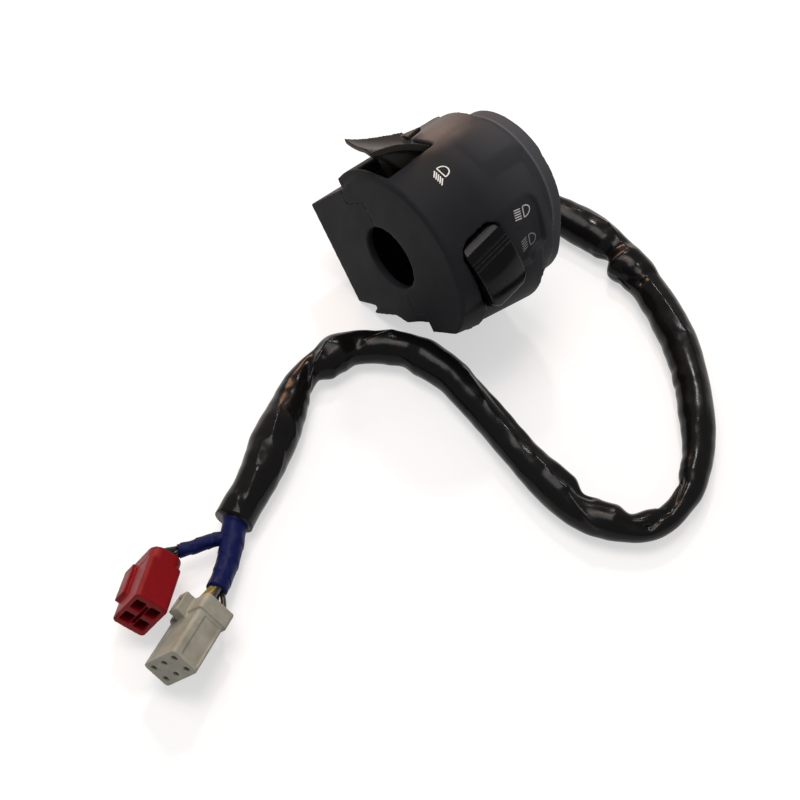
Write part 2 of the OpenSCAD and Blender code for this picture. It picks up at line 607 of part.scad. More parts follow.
// Ends of the inner leads on the sleeve's inner face
function lead_end(angle) = [sleeve_x, outlet[0] + 0.55 * sleeve_r * cos(angle),
  outlet[1] + 0.55 * sleeve_r * sin(angle)];
function near_end(angle) = lead_end(angle) - [5, 1.5, 0];
module switch_leads() color("#7a2a24") bike() {
  for (i = [-1, 0, 1]) tube([dimmer_point(0, i * contact_y, base_z - 1.5),
    dimmer_point(0, i * contact_y, base_z - 4),
    radial(lead_x - 1 + 2.2 * i, i - contact_y - 1.3, base_z - 1.5 - 0.3 * i, rocker_phi),
    [lead_x + 2.2 * i, -6, -lead_low], [lead_x + 2.2 * i, 5, -lead_low],
      [lead_x + 2 + 0.5 * i, 14, 2.2 * i - 12.5],
    near_end(240 + 60 * i), lead_end(240 + 60 * i)], lead_r, 8, [0.3, 0.2, 1]);
  for (side = [-1, 1]) tube([radial(contact_x + pass_len - 2, side * contact_side, pass_top + lead_r,
    trigger_phi),
    radial(contact_x + pass_len, side * contact_side, pass_top + 0.5, trigger_phi),
      [lead_x + 3.2, -2 + 2 * side, lead_low + 0.2 + side],
    [lead_x + 3.2, 8 + side, lead_low - 1 + side], [lead_x + 3, 16 + side, 12 + side],
      [lead_x + 7, 20.5 + side, 7 + side],
    near_end(90 - 32 * side), lead_end(90 - 32 * side)], lead_r, 8, [0.1, 0.2, 1]);
}
module harness_sleeve() color("#1a1a1c")
  tube(concat([for (x = [sleeve_x, grommet_x + 12, grommet_x + 19]) table_point([x, outlet[0], outlet[1]])],
    laid(sleeve_route)), sleeve_r, 12);
module blue_trunk() color("#2456b8") tube(laid(trunk_route), trunk_r, 10);
module blue_branch() color("#2456b8") tube(laid(branch_route), branch_d / 2, 8);

// Connectors lie on an edge: x runs from the mating face to the leads
module connector_frame(tip, turn) translate([tip[0], tip[1], tip[2] + floor_z]) rotate(turn) children();
function connector_point(tip, turn, p) =
  let (y = p[1] * cos(turn[0]) - p[2] * sin(turn[0]), z = p[1] * sin(turn[0]) + p[2] * cos(turn[0]),
    x = p[0] * cos(turn[1]) + z * sin(turn[1]))
  [tip[0] + x * cos(turn[2]) - y * sin(turn[2]), tip[1] + x * sin(turn[2]) + y * cos(turn[2]),
    tip[2] + floor_z + z * cos(turn[1]) - p[0] * sin(turn[1])];
function route_end(route) = let (p = route[len(route) - 1]) [p[0], p[1], p[2] + floor_z];
module rounded_bar(length, y, z, r) rotate([90, 0, 90]) linear_extrude(length) {
  square([y - 2 * r, z], center = true);
  square([y, z - 2 * r], center = true);
  for (a = [-1, 1], b = [-1, 1]) translate([a * (y / 2 - r), b * (z / 2 - r)]) circle(r = r, $fn = 32);
}
// One lead from a pin's cavity to the end of the tape
module lead(tip, turn, length, p, end) tube([connector_point(tip, turn, [length - 5, p[0], p[1]]),
  connector_point(tip, turn, [length + 1, p[0], p[1]]), end], lead_r * 0.9, 8);

module white_connector() color("#e8e6dc") connector_frame(white_tip, white_turn) difference() {
  union() {
    rounded_bar(white_len - 5, white_h - 0.4, white_w - 0.4, 1.2);
    translate([white_len - 5.5, 0, 0]) rounded_bar(5.5, white_h + 0.8, white_w + 0.8, 1.2);
    translate([white_len - 7, white_h / 2 - 1, -2.5]) cube([7, 4.6, 4]);
  }
  for (p = white_pins) translate([front_wall, p[0], p[1]]) rotate([0, 90, 0])
    cylinder(r = pin_r + 0.1, h = white_len);
  for (p = white_pins) translate([-cut, p[0], p[1]]) rotate([0, 90, 0])
    cylinder(r = pin_mouth_r, h = 2 * front_wall);
  translate([1.2, 1.2 - white_h / 2, white_w / 2 - 0.7]) cube([white_len - 7.5, white_h - 4, 1]);
  translate([white_len - 5, white_h / 2 + 1, -1.5]) cube([3, 4, 2]);
}
module white_terminals() color("#d9c27a") connector_frame(white_tip, white_turn)
  for (p = white_pins) translate([front_wall + 0.1, p[0], p[1]]) rotate([0, 90, 0]) difference() {
    cylinder(r = pin_r, h = white_len - front_wall - 5.1);
    translate([0, 0, -cut]) cylinder(r = 0.8, h = 8);
  }
module white_leads() color("#e0c020") for (p = white_pins)
  lead(white_tip, white_turn, white_len, p, route_end(trunk_route) + [p[1] * 0.2, -p[1] * 0.2, p[0] * 0.5]);

module red_connector() color("#c01818") connector_frame(red_tip, red_turn) difference() {
  union() {
    rounded_bar(red_len - 4, red_h, red_w, 1.4);
    translate([red_len - 4.5, 0.2, 0.2]) rounded_bar(4.5, red_h, red_w, 3.4);
    translate([6, red_h / 2 - 0.5, -red_w / 2 + 0.6]) cube([red_len - 8.5, 1.8, 5]);
  }
  for (p = red_pins) translate([-cut, p[0] - 1.6, p[1] - 2.1]) cube([red_len + 2, 3.2, 4.2]);
  translate([-cut, -0.5, -4.4]) cube([3, 1, 8.8]);
}
module red_terminals() color("#d9c27a") connector_frame(red_tip, red_turn)
  for (p = red_pins) translate([3, p[0] - 1.3, p[1] - 1.6]) difference() {
    cube([red_len - 8, 2.6, 3.2]);
    translate([-cut, 0.5, 0.6]) cube([8, 1.6, 2]);
  }
module red_leads() color("#2a2a2c") for (p = red_pins)
  lead(red_tip, red_turn, red_len, p, route_end(branch_route) + [0, p[1] * 0.2, p[0] * 0.3]);

rear_shell();
front_shell();
clamp_screws();
screw_inserts();
dimmer_rocker();
rocker_pin();
dimmer_base();
base_screws();
detent_plunger();
detent_spring();
contact_bridge();
feed_post();
beam_contacts();
pass_trigger();
trigger_pin();
trigger_spring();
pass_plate();
pass_base();
pass_contacts();
pass_screw();
cable_grommet();
switch_leads();
harness_sleeve();
blue_trunk();
blue_branch();
red_connector();
red_terminals();
red_leads();
white_connector();
white_terminals();
white_leads();
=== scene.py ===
from math import atan, cos, exp, pi, radians, sin, sqrt

import bmesh
import bpy
from mathutils import Euler, Matrix, Vector, noise
from mathutils.bvhtree import BVHTree


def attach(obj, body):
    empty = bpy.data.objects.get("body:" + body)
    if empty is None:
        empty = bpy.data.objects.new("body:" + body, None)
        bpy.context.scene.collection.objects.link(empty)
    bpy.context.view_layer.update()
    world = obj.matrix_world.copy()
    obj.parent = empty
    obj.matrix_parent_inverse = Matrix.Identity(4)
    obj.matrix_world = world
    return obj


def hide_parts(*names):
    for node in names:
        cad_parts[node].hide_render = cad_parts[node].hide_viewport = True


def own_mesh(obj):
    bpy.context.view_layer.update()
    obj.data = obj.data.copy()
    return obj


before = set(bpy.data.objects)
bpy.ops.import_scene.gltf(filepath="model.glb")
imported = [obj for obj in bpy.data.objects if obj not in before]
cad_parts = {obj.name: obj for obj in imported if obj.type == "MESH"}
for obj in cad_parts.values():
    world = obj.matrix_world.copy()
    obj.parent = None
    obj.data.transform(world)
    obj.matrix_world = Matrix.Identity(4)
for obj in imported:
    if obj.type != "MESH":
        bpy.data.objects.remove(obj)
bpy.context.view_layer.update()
scene = bpy.context.scene
scene.view_settings.view_transform = "Standard"

# Sizes of the cluster in millimetres, as in the part's source
MM = 0.001
LIE = radians(39.4)
BODY_BACK, BODY_DROP, BODY_R = 5.0, 0.5, 29.5
LEAN_BACK, LEAN_UP, TOTAL_LEN = 3.5, 2.7, 42.5
BROW_BACK, BROW_UP, BROW_R = 1.0, 0.3, 30.3
BAR_R = 11.1
RING_MIDDLE, RING_TURN, RING_SPREAD, RING_R = (-12.7, 0.6), radians(34), 5.6, 23.4
ROCKER_X, ROCKER_PHI, ROCKER_TILT = 14.5, radians(109), radians(13)
ROCKER_CROWN, PIVOT_Z, ROCKER_REST = 32.4, 23.4, radians(-8)
TRIGGER_PHI = radians(11)
SLEEVE_R, LEAD_R = 6.3, 0.81
WHITE_LEN, RED_LEN = 21.7, 20.0
# Parting line of the shells in the y, z plane, from the top to the bottom
PARTING = ((10.5, 60), (10.5, 20), (0, 20), (0, -20), (-5.5, -20), (-5.5, -60))
# The table is level with the housing's lower front edge
FRONT_Y, FRONT_LOW = 36, 17.5
FLOOR = -(FRONT_Y * sin(LIE) + FRONT_LOW * cos(LIE))
# Where the end ring's band starts along the bar
BAND_START = 38.2
UP = Vector((0, 0, 1))

# Frames of the source, as matrices from its own axes in millimetres to the shared frame
BIKE = Matrix.Rotation(-LIE, 4, "X")
BODY_AXIS = Matrix.Translation((0, -BODY_BACK, -BODY_DROP))
PANEL = (BIKE @ Matrix.Translation((ROCKER_X, 0, 0)) @ BODY_AXIS
         @ Matrix.Rotation(ROCKER_PHI, 4, "X"))
DIMMER = PANEL @ Matrix.Rotation(ROCKER_TILT, 4, "Z")
ROCKER_POSE = (Matrix.Translation((0, 0, PIVOT_Z)) @ Matrix.Rotation(ROCKER_REST, 4, "X")
               @ Matrix.Translation((0, 0, -PIVOT_Z)))
ROCKER = DIMMER @ ROCKER_POSE
TRIGGER = BIKE @ BODY_AXIS @ Matrix.Rotation(TRIGGER_PHI, 4, "X")
TO_BIKE, TO_ROCKER, TO_TRIGGER = BIKE.inverted(), ROCKER.inverted(), TRIGGER.inverted()

# Half of the photograph's side in pixels
PHOTO_HALF = 400


def photo_camera(azimuth, elevation, distance, pixels_per_mm, origin_pixel):
    """The photograph's camera: angles in degrees, distance in millimetres from the bar axis."""
    a, e = radians(azimuth), radians(elevation)
    back = Vector((sin(a) * cos(e), -cos(a) * cos(e), sin(e)))
    right = Vector((cos(a), sin(a), 0))
    up = back.cross(right)
    aside = (PHOTO_HALF - origin_pixel[0]) / pixels_per_mm
    down = (PHOTO_HALF - origin_pixel[1]) / pixels_per_mm
    place = back * distance + right * aside - up * down
    data = bpy.data.cameras.new("photo_camera")
    data.sensor_fit = "HORIZONTAL"
    data.angle = 2 * atan(PHOTO_HALF / (distance * pixels_per_mm))
    data.clip_start = 0.01
    camera = bpy.data.objects.new("photo_camera", data)
    turn = Matrix((right, up, back)).transposed().to_4x4()
    camera.matrix_world = Matrix.Translation(place * MM) @ turn
    scene.collection.objects.link(camera)
    scene.camera = camera


photo_camera(azimuth=-41.2, elevation=54.6, distance=400, pixels_per_mm=3.147,
             origin_pixel=(389.9, 258.6))


# Materials
def linear(hex_colour):
    parts = [int(hex_colour[i:i + 2], 16) / 255 for i in (1, 3, 5)]
    return tuple(p / 12.92 if p <= 0.04045 else ((p + 0.055) / 1.055) ** 2.4
                 for p in parts) + (1,)


def add(tree, kind, sockets, **settings):
    node = tree.nodes.new("ShaderNode" + kind)
    for name, value in settings.items():
        setattr(node, name, value)
    for name, value in sockets.items():
        if isinstance(value, bpy.types.NodeSocket):
            tree.links.new(value, node.inputs[name])
        else:
            node.inputs[name].default_value = value
    return node


def blend(tree, share, first, second):
    """The socket of a colour between two others, each a colour or a socket."""
    return add(tree, "Mix", {0: share, 6: first, 7: second}, data_type="RGBA").outputs[2]


def start_finish(name, colour, **sockets):
    """A new material with its plain sockets set, its tree, its shader and the place in mm."""
    material = bpy.data.materials.new(name)
    material.use_nodes = True
    tree = material.node_tree
    shader = tree.nodes["Principled BSDF"]
    shader.inputs["Base Color"].default_value = linear(colour)
    for socket, value in sockets.items():
        shader.inputs[socket.replace("_", " ")].default_value = value
    spot = add(tree, "TexCoord", {}).outputs["Object"]
    place = add(tree, "VectorMath", {0: spot, "Scale": 1 / MM}, operation="SCALE")
    return material, tree, shader, place.outputs["Vector"]


# Range that a noise texture mostly keeps to
NOISE_LOW, NOISE_HIGH = 0.3, 0.7


def mottled(name, colours, patch, roughness, grain, relief, **sockets):
    """A finish whose colour and gloss drift over patches, with a raised grain; sizes in mm."""
    material, tree, shader, place = start_finish(name, colours[0], **sockets)
    drift = add(tree, "TexNoise", {"Vector": place, "Scale": 1 / patch, "Detail": 4.0,
                                   "Roughness": 0.6}).outputs["Fac"]
    shade = blend(tree, drift, linear(colours[0]), linear(colours[1]))
    tree.links.new(shade, shader.inputs["Base Color"])
    gloss = add(tree, "MapRange", {"Value": drift, "From Min": NOISE_LOW, "From Max": NOISE_HIGH,
                                   "To Min": roughness[0], "To Max": roughness[1]})
    tree.links.new(gloss.outputs["Result"], shader.inputs["Roughness"])
    pits = add(tree, "TexNoise", {"Vector": place, "Scale": 1 / grain, "Detail": 2.0,
                                  "Roughness": 0.5})
    bump = add(tree, "Bump", {"Height": pits.outputs["Fac"], "Strength": 1.0,
                              "Distance": relief * MM})
    tree.links.new(bump.outputs["Normal"], shader.inputs["Normal"])
    return material


# Painted light on the housing: where its painted paling towards the end ring starts and ends, in
# millimetres along the bar, its share, and the width of the painted highlight line on the band's
# edge
LIT_SIDE_START, LIT_SIDE_END, LIT_SIDE_SHARE = 18, 36, 0.6
HIGHLIGHT_LINE_WIDTH = 0.35
# The shoulder behind the lever: its middle, where its sheen starts to fade and where it ends
SHOULDER = TRIGGER @ Vector((26, 2, 30))
SHEEN_FULL, SHEEN_END = 4, 17
SHEEN_LEVEL, PLAIN_LEVEL = 0.6, 0.05


def painted_light_and_sheen(material):
    """Painted light on the housing: paler towards the end ring, its band paler still, a painted
    highlight line on the band's edge, and the shoulder shiny.
    """
    tree = material.node_tree
    shader = tree.nodes["Principled BSDF"]
    plain = shader.inputs["Base Color"].links[0].from_socket
    spot = add(tree, "TexCoord", {}).outputs["Object"]
    across = add(tree, "SeparateXYZ", {"Vector": spot}).outputs["X"]
    # Painted light: the shell pales towards the end ring
    lit_side = add(tree, "MapRange", {"Value": across, "From Min": LIT_SIDE_START * MM,
                                 "From Max": LIT_SIDE_END * MM, "To Max": LIT_SIDE_SHARE})
    shade = blend(tree, lit_side.outputs["Result"], plain, linear("#414246"))
    # Painted light: the end ring's band is paler still
    band = add(tree, "Math", {0: across, 1: BAND_START * MM}, operation="GREATER_THAN")
    shade = blend(tree, band.outputs["Value"], shade, linear("#434448"))
    # Painted highlight: a pale line along the band's edge
    edge = add(tree, "Math", {0: across, 1: (BAND_START + HIGHLIGHT_LINE_WIDTH) * MM, 2: HIGHLIGHT_LINE_WIDTH * MM},
               operation="COMPARE")
    shade = blend(tree, edge.outputs["Value"], shade, linear("#525356"))
    tree.links.new(shade, shader.inputs["Base Color"])
    away = add(tree, "VectorMath", {0: spot, 1: SHOULDER * MM}, operation="DISTANCE")
    sheen = add(tree, "MapRange", {"Value": away.outputs["Value"], "From Min": SHEEN_FULL * MM,
                                   "From Max": SHEEN_END * MM, "To Min": SHEEN_LEVEL,
                                   "To Max": PLAIN_LEVEL}, interpolation_type="SMOOTHSTEP")
    tree.links.new(sheen.outputs["Result"], shader.inputs["Specular IOR Level"])


# Moulded ABS from a spark-eroded tool: fine even grain, satin, with a slightly greasy drift in
# its sheen. The grain of about 0.1 mm is drawn at 0.45 mm so that it shows. Painted light pales
# the shell towards the end ring and its band, and a painted highlight line marks the band's edge.
housing_abs = mottled("spark_eroded_abs", ("#1D1E21", "#26272A"), patch=9, roughness=(0.5, 0.62),
                      grain=0.45, relief=0.018, IOR=1.53, Specular_IOR_Level=PLAIN_LEVEL)
painted_light_and_sheen(housing_abs)
# Polished ABS: deep black with a sharp reflection, dulled by finger marks.
polished_abs = mottled("polished_abs", ("#08080A", "#0D0D10"), patch=6, roughness=(0.12, 0.2),
                       grain=1.6, relief=0.004, IOR=1.53, Specular_IOR_Level=0.11)
# Satin ABS rubbed by fingers: a little browner and smoother than the housing.
satin_abs = mottled("satin_abs", ("#1A1917", "#282521"), patch=5, roughness=(0.34, 0.46),
                    grain=0.6, relief=0.012, IOR=1.53, Specular_IOR_Level=0.2)
# Plasticised PVC tubing: black, wet-looking, with a soft orange peel.
sleeve_pvc = mottled("plasticised_pvc", ("#0A0909", "#121111"), patch=7, roughness=(0.15, 0.26),
                     grain=2.4, relief=0.02, IOR=1.54, Specular_IOR_Level=0.13)
# Wound PVC tape: dark blue, calendered surface with a dull gloss.
tape_pvc = mottled("blue_pvc_tape", ("#0C123D", "#131B4B"), patch=3, roughness=(0.34, 0.48),
                   grain=0.8, relief=0.03, IOR=1.54, Specular_IOR_Level=0.07)
# Injection-moulded polyamide dyed red: a deep, even red that darkens a little in patches.
red_nylon = mottled("red_polyamide", ("#820914", "#6A060C"), patch=4, roughness=(0.4, 0.52),
                    grain=0.9, relief=0.012, IOR=1.53, Specular_IOR_Level=0.14)
# Natural polyamide that has taken up grease: milky grey with brown stains.
white_nylon = mottled("stained_polyamide", ("#A8A89B", "#6F685A"), patch=5, roughness=(0.4, 0.52),
                      grain=0.9, relief=0.012, IOR=1.53, Specular_IOR_Level=0.25)
# PVC lead insulation in its colours: thin, slightly dirty and softly shining.
yellow_lead = mottled("yellow_lead_pvc", ("#A68A34", "#7A6220"), patch=2.5,
                      roughness=(0.32, 0.45), grain=0.6, relief=0.01, IOR=1.54)
black_lead = mottled("black_lead_pvc", ("#121213", "#1B1B1D"), patch=2.5,
                     roughness=(0.3, 0.44), grain=0.6, relief=0.01, IOR=1.54)
red_lead = mottled("red_lead_pvc", ("#7A1612", "#5E100D"), patch=2.5,
                   roughness=(0.3, 0.44), grain=0.6, relief=0.01, IOR=1.54)
# Zinc-plated steel: bright with a faint cloudy passivation.
zinc_steel = mottled("zinc_plated_steel", ("#A9ABAD", "#8E9092"), patch=1.6,
                     roughness=(0.28, 0.42), grain=0.5, relief=0.006, Metallic=1.0)
# Drawn spring steel: darker and smoother than the screws.
spring_steel = mottled("drawn_spring_steel", ("#8A8C90", "#74767A"), patch=1.2,
                       roughness=(0.22, 0.34), grain=0.4, relief=0.004, Metallic=1.0)
# Turned brass: warm yellow metal, clouded by tarnish.
turned_brass = mottled("tarnished_brass", ("#B08D45", "#8A6A2E"), patch=1.5,
                       roughness=(0.26, 0.4), grain=0.4, relief=0.004, Metallic=1.0)
# Rolled copper: reddish metal with brown oxide patches.
rolled_copper = mottled("oxidised_copper", ("#A8623F", "#7C4229"), patch=2,
                        roughness=(0.28, 0.44), grain=0.4, relief=0.004, Metallic=1.0)
# Phenolic paper board: brown, flecked and dull.
phenolic = mottled("phenolic_board", ("#4A2E1B", "#5C3A22"), patch=1.4, roughness=(0.42, 0.58),
                   grain=0.35, relief=0.01, IOR=1.6)
# Natural acetal: milky, waxy and smooth.
acetal = mottled("natural_acetal", ("#CFC9BA", "#BDB5A3"), patch=2, roughness=(0.26, 0.36),
                 grain=0.6, relief=0.004, IOR=1.48)
# Moulded nitrile rubber: black and almost without gloss.
nitrile = mottled("nitrile_rubber", ("#141414", "#1C1C1C"), patch=3, roughness=(0.6, 0.75),
                  grain=0.5, relief=0.02, IOR=1.52)
# Pad-printed ink: opaque white that thins in patches, and the same ink worn down to grey.
pad_print = mottled("pad_print_white", ("#E4E4E2", "#BFBFBD"), patch=0.8, roughness=(0.5, 0.62),
                    grain=0.3, relief=0.004)
worn_print = mottled("pad_print_worn", ("#8F8F8D", "#6F6F6D"), patch=0.8, roughness=(0.5, 0.62),
                     grain=0.3, relief=0.004)

# Points closer than this, in millimetres, are one
WELD = 0.001


def millimetre_copy(mesh):
    bm = bmesh.new()
    bm.from_mesh(mesh)
    bmesh.ops.scale(bm, vec=(1 / MM, 1 / MM, 1 / MM), verts=bm.verts)
    return bm


def show(name, bm, finish, body, replaced=()):
    """Turns a bmesh in millimetres into a finished piece that rides on a body."""
    bmesh.ops.scale(bm, vec=(MM, MM, MM), verts=bm.verts)
    mesh = bpy.data.meshes.new(name)
    bm.to_mesh(mesh)
    bm.free()
    mesh.materials.append(finish)
    mesh.shade_smooth()
    piece = bpy.data.objects.new(name, mesh)
    scene.collection.objects.link(piece)
    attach(piece, body)
    if replaced:
        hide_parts(*replaced)
    return piece


# Curves through points, and tubes along them
def on_table(x, y, height):
    return Vector((x, y, height + FLOOR))


def clamped(value):
    return max(0.0, min(1.0, value))


def spline(points, per_span):
    points = [Vector(p) for p in points]
    ends = [2 * points[0] - points[1]] + points + [2 * points[-1] - points[-2]]
    line = []
    for a, b, c, d in zip(ends, ends[1:], ends[2:], ends[3:]):
        for k in range(per_span):
            t = k / per_span
            line.append(0.5 * (2 * b + (c - a) * t + (2 * a - 5 * b + 4 * c - d) * t * t
                               + (3 * b - a - 3 * c + d) * t ** 3))
    return line + [points[-1]]


def along(line):
    """Distances from the start of a line to each of its points."""
    total, stations = 0.0, [0.0]
    for a, b in zip(line, line[1:]):
        total += (b - a).length
        stations.append(total)
    return stations


def direction(line, i):
    return (line[min(i + 1, len(line) - 1)] - line[max(i - 1, 0)]).normalized()


def wrap_tube(line, around, section):
    """A grid rolled into a tube: section(s, angle) gives offsets to the right and upwards."""
    bm = bmesh.new()
    rows = len(line) - 1
    bmesh.ops.create_grid(bm, x_segments=rows, y_segments=around, size=0.5)
    stations = along(line)
    axes = []
    for i in range(rows + 1):
        way = direction(line, i)
        right = way.cross(UP).normalized()
        axes.append((right, right.cross(way)))
    for v in bm.verts:
        i = round((v.co.x + 0.5) * rows)
        angle = 2 * pi * (v.co.y + 0.5)
        right, up = axes[i]
        a, b = section(stations[i], angle)
        v.co = line[i] + right * a + up * b
    bmesh.ops.remove_doubles(bm, verts=bm.verts, dist=WELD)
    bmesh.ops.holes_fill(bm, edges=bm.edges, sides=0)
    bmesh.ops.recalc_face_normals(bm, faces=bm.faces)
    return bm


# Harness sleeve: its centre line leaves the grommet, comes down to the table and lies there
EXIT = BIKE @ Vector((39, 23, -6.4))
LEAVING = (0, 11.5, 18.5)
COMING_DOWN = ((66, 10, 13.5), (72, 5, 10), (76, -3, 7.5))
LYING = (
    (79, -13), (80, -23), (79, -34), (76, -45), (72, -56), (67, -67), (61, -78), (53, -88),
    (44, -97), (35, -105), (24, -111), (12, -113), (2, -109), (-4, -99), (-6, -87), (-5.5, -72),
    (-4, -57), (-2, -42), (-2, -28), (-6, -15), (-13, -5), (-22, 0), (-31, 0.5), (-40.5, -2),
    (-50.5, -8), (-62, -14.5), (-74, -21.5), (-87, -28.5))
LYING_HEIGHT = 6.5
SLEEVE_ROUTE = ([EXIT + Vector((x, 0, 0)) for x in LEAVING]
                + [on_table(*point) for point in COMING_DOWN]
                + [on_table(x, y, LYING_HEIGHT) for x, y in LYING])
SLEEVE_STEPS, SLEEVE_AROUND = 20, 72
# Half widths of the slack sleeve to the left and right of travel, every 6 mm from 44 mm on
SLACK_START, SLACK_STEP = 44, 6
SLACK_LEFT = (
    6.1, 6.6, 7.0, 6.7, 6.4, 6.2, 6.2, 6.8, 6.4, 6.6, 6.5, 6.6, 6.6, 6.2, 6.0, 6.1, 6.1, 6.2, 6.3,
    5.9, 5.5, 5.2, 5.0, 4.6, 4.8, 4.9, 4.9, 5.6, 6.1, 6.5, 6.6, 6.5, 6.2, 5.8, 5.7, 5.4, 5.5, 5.7,
    5.7, 5.6, 5.8, 5.7, 4.4, 5.5, 5.8, 5.5, 6.9, 6.9, 3.9, 4.5, 5.7, 6.5, 7.3, 7.7, 7.6, 6.9, 6.4,
    6.1)
SLACK_RIGHT = (
    7.2, 7.4, 7.6, 7.4, 6.9, 4.6, 8.6, 6.7, 5.8, 6.3, 5.7, 6.1, 6.2, 6.1, 6.1, 5.9, 5.6, 5.9, 5.3,
    4.7, 4.8, 4.5, 3.4, 3.5, 4.0, 5.0, 4.2, 6.3, 5.8, 4.5, 6.9, 6.8, 6.0, 5.7, 6.0, 6.3, 6.1, 5.9,
    6.1, 6.9, 7.2, 7.9, 7.4, 7.0, 5.9, 6.2, 6.8, 5.3, 5.7, 6.2, 6.7, 7.1, 7.3, 7.5, 7.0, 6.4, 6.0,
    6.5)
# Creases: start and end as (distance along, angle round the sleeve), height and half width in mm
CREASES = (
    ((45, 80), (66, 108), 0.5, 1.0), ((66, 108), (79, 90), 0.55, 0.9),
    ((74, 10), (79, 30), 0.9, 1.5), ((87, 15), (92, 55), -0.55, 1.5),
    ((92, 55), (90, 110), -0.4, 1.6), ((94, 84), (118, 104), 0.55, 1.4),
    ((118, 104), (150, 108), 0.5, 1.5), ((176, 40), (188, 100), -0.8, 1.8),
    ((190, 90), (196, 125), -0.9, 1.6), ((196, 125), (203, 100), -0.8, 1.6),
    ((203, 100), (207, 60), 0.5, 1.6), ((236, 86), (222, 90), 0.8, 1.0),
    ((222, 90), (209, 145), 0.9, 1.0), ((228, 78), (215, 60), -0.9, 2.0),
    ((275, 58), (262, 86), 0.6, 1.0), ((262, 86), (246, 92), 0.3, 1.2),
    ((276, 40), (244, 60), -0.5, 1.6), ((302, 55), (310, 105), 0.7, 1.2),
    ((306, 60), (313, 110), -0.8, 2.2), ((322, 75), (330, 102), 0.9, 1.0),
    ((330, 102), (338, 145), 0.9, 1.1), ((326, 60), (336, 115), -0.7, 2.0),
    ((351, 78), (363, 98), 0.7, 1.2), ((353, 118), (358, 150), 0.6, 1.0),
    ((365, 76), (372, 88), 0.6, 1.1), ((366, 140), (373, 156), 0.6, 1.0),
    ((376, 98), (384, 108), 0.5, 1.1), ((385, 70), (391, 118), 0.4, 1.2))
# Reach of a crease past its ends, and how sharply a ridge falls off
CREASE_REACH, RIDGE_FALL = 8, 1.2
# Size and height of the vinyl's swells, ripples and flat facets, read at a fixed radius
READ_R = 7
SWELL, SWELL_H = 12, 0.35
RIPPLE, RIPPLE_H = 5, 0.08
FACET, FACET_H = 8, 0.12
# Dents on the inside of the first loop: from, to, spacing and depth, and how far they wander
DENT_FROM, DENT_TO, DENT_STEP, DENT_DEPTH = 92, 190, 12.5, 0.38
WANDER, WANDER_STEP = 5, 16
# The grommet's neck grips the sleeve, which comes loose over a short way and then sags
GRIP_END, GRIP_FADE, SHRINK, SAG = 11, 14, 0.2, 0.06
TABLE_GAP = 0.05


def slack(table, s):
    spot = max(0.0, min((s - SLACK_START) / SLACK_STEP, len(table) - 1.001))
    i = int(spot)
    t = spot - i
    return table[i] + (table[i + 1] - table[i]) * t * t * (3 - 2 * t)


def crease_lift(s, angle):
    lift = 0.0
    for (s0, a0), (s1, a1), height, width in CREASES:
        if s < min(s0, s1) - CREASE_REACH or s > max(s0, s1) + CREASE_REACH:
            continue
        start = Vector((s0, radians(a0) * SLEEVE_R))
        way = Vector((s1, radians(a1) * SLEEVE_R)) - start
        here = Vector((s, angle * SLEEVE_R)) - start
        t = clamped(here.dot(way) / way.length_squared)
        gap = (here - way * t).length / width
        lift += height * (exp(-RIDGE_FALL * gap) if height > 0 else exp(-gap * gap))
    return lift


def sleeve_section(s, angle):
    left, right = slack(SLACK_LEFT, s), slack(SLACK_RIGHT, s)
    half = 0.5 * (right + left) + 0.5 * (right - left) * cos(angle)
    turn = Vector((s, cos(angle) * READ_R, sin(angle) * READ_R))
    big = noise.noise(turn / SWELL) * SWELL_H + noise.noise(turn / RIPPLE) * RIPPLE_H
    facet = noise.voronoi(turn / FACET)[0]
    crumple = (facet[1] - facet[0]) * FACET_H
    if DENT_FROM < s < DENT_TO:
        drift = WANDER * noise.noise(Vector((s / WANDER_STEP, 0.5, 0.5)))
        dent = (0.5 + 0.5 * cos(2 * pi * s / DENT_STEP + drift + 2 * big)) ** 2
        crumple -= DENT_DEPTH * max(0.0, cos(angle)) ** 2 * dent
    loose = clamped((s - GRIP_END) / GRIP_FADE)
    swelling = half - SLEEVE_R + big + crumple - SHRINK + crease_lift(s, angle)
    radius = SLEEVE_R + swelling * loose
    return radius * cos(angle), radius * (1 - SAG * loose) * sin(angle)


sleeve_line = spline(SLEEVE_ROUTE, SLEEVE_STEPS)
bm = wrap_tube(sleeve_line, SLEEVE_AROUND, sleeve_section)
for v in bm.verts:
    v.co.z = max(v.co.z, FLOOR + TABLE_GAP)
sleeve = show("harness_sleeve_pvc", bm, sleeve_pvc, "housing", ["harness_sleeve"])

# Taped trunk and branch: the tape is wound with an overlap, so each turn ends in a small step
TAPE_STEPS, TAPE_AROUND = 16, 40
TAPE_STEP, LAP = 0.22, 0.07
WRINKLE, WRINKLE_R, WRINKLE_H = 3, 1.5, 0.22
TRUNK_ROUTE = ((-86, -28, 6.5), (-89.5, -31.5, 6.5), (-93.5, -35.5, 6.5), (-97.5, -39, 7),
               (-102, -42.5, 8), (-105, -44.6, 8.8))
BRANCH_ROUTE = ((-91, -32.5, 6.5), (-94.5, -30.5, 7), (-98, -29.5, 8), (-102, -28.5, 8.5),
                (-106, -27, 9))


def taped(name, route, radii, pitch, node):
    line = spline([on_table(*point) for point in route], TAPE_STEPS)
    whole = along(line)[-1]

    def section(s, angle):
        turn = (s / pitch - angle / (2 * pi)) % 1
        step = TAPE_STEP * (turn if turn < 1 - LAP else (1 - turn) / LAP)
        place = Vector((s / WRINKLE, cos(angle) * WRINKLE_R, sin(angle) * WRINKLE_R))
        wave = noise.noise(place) * WRINKLE_H
        radius = radii[0] + (radii[1] - radii[0]) * s / whole + step + wave
        return radius * cos(angle), radius * sin(angle)

    bm = wrap_tube(line, TAPE_AROUND, section)
    return show(name, bm, tape_pvc, "housing", [node])


